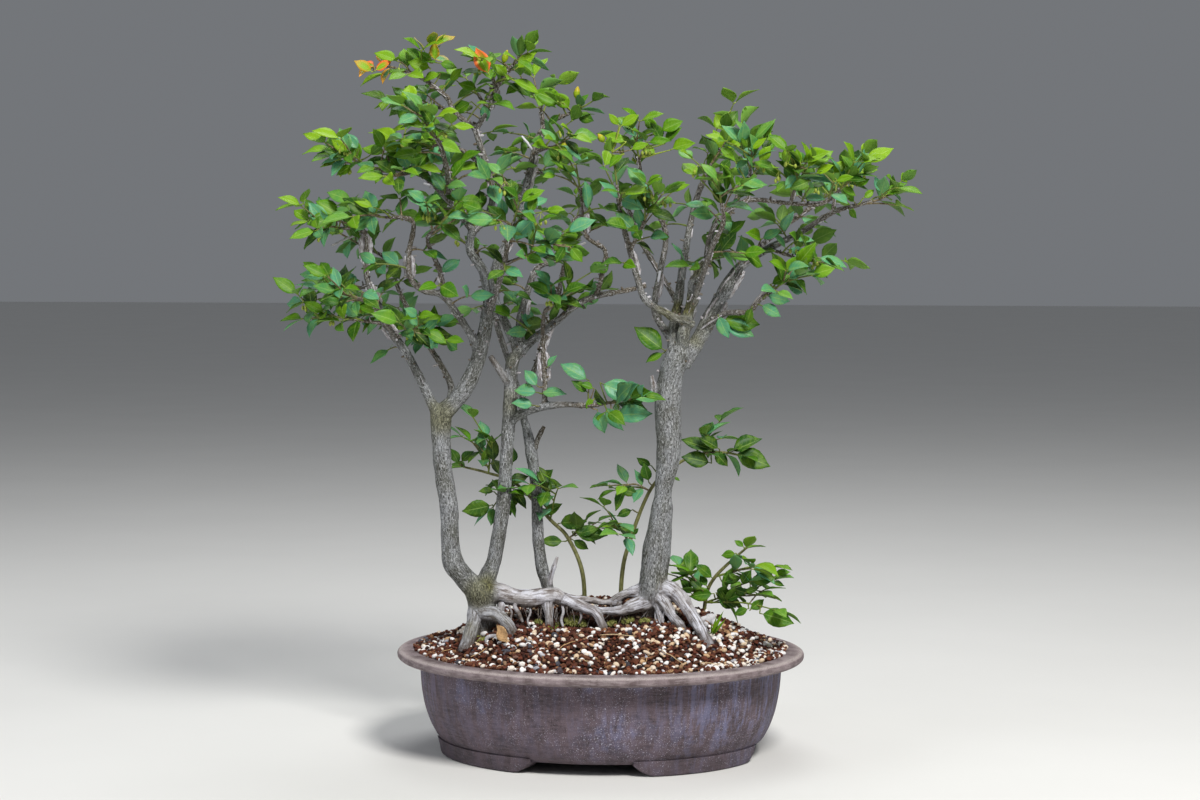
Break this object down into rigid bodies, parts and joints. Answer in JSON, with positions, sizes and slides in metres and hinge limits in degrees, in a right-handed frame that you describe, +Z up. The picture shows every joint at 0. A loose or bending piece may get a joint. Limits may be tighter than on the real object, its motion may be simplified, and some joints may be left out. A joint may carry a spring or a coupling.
{
  "type": "winged euonymus bonsai",
  "caption": "Small multi-trunk winged euonymus tree on joined surface roots, with leafy sprays and basal suckers, in a footed oval clay pot filled with gravelly soil.",
  "frame": {"origin": "middle of the pot on the surface it stands on, which is also the bottom centre of the whole box", "axes": "+X along the pot's long axis to the right seen from the front, +Y to the back, +Z up"},
  "size_m": [0.6278, 0.35, 0.717],
  "materials": {
    "clay": "matte unglazed brown-mauve clay with pale lime bloom",
    "soil": "loose rust-brown, tan and cream grains",
    "bark": "grey-tan fissured bark, bleached on the roots",
    "foliage": "satin green leaf with paler yellow-green young growth",
    "mesh": "matte black moulded mesh",
    "wire": "brown anodised wire"
  },
  "bodies": {
    "root": {"pot": "clay", "drain_screen_1": "mesh", "drain_screen_2": "mesh", "screen_wire_1": "wire", "screen_wire_2": "wire", "soil": "soil", "wood": "bark", "spray_01": "foliage", "spray_02": "foliage", "spray_03": "foliage", "spray_04": "foliage", "spray_05": "foliage", "spray_06": "foliage", "spray_07": "foliage", "spray_08": "foliage", "spray_09": "foliage", "spray_10": "foliage", "spray_11": "foliage", "spray_12": "foliage", "spray_13": "foliage", "spray_14": "foliage", "spray_15": "foliage", "spray_16": "foliage", "spray_17": "foliage", "spray_18": "foliage", "spray_19": "foliage", "spray_20": "foliage", "spray_21": "foliage", "spray_22": "foliage", "spray_23": "foliage", "spray_24": "foliage", "spray_25": "foliage", "spray_26": "foliage", "spray_27": "foliage", "spray_28": "foliage", "spray_29": "foliage", "spray_30": "foliage", "spray_31": "foliage", "spray_32": "foliage", "spray_33": "foliage", "spray_34": "foliage", "spray_35": "foliage", "spray_36": "foliage", "spray_37": "foliage", "spray_38": "foliage", "spray_39": "foliage", "spray_40": "foliage", "spray_41": "foliage", "spray_42": "foliage", "spray_43": "foliage", "spray_44": "foliage", "spray_45": "foliage", "spray_46": "foliage", "spray_47": "foliage", "spray_48": "foliage", "spray_49": "foliage", "spray_50": "foliage", "sprout_right": "foliage", "sucker_behind": "foliage", "sucker_middle": "foliage"}
  },
  "joints": []
}
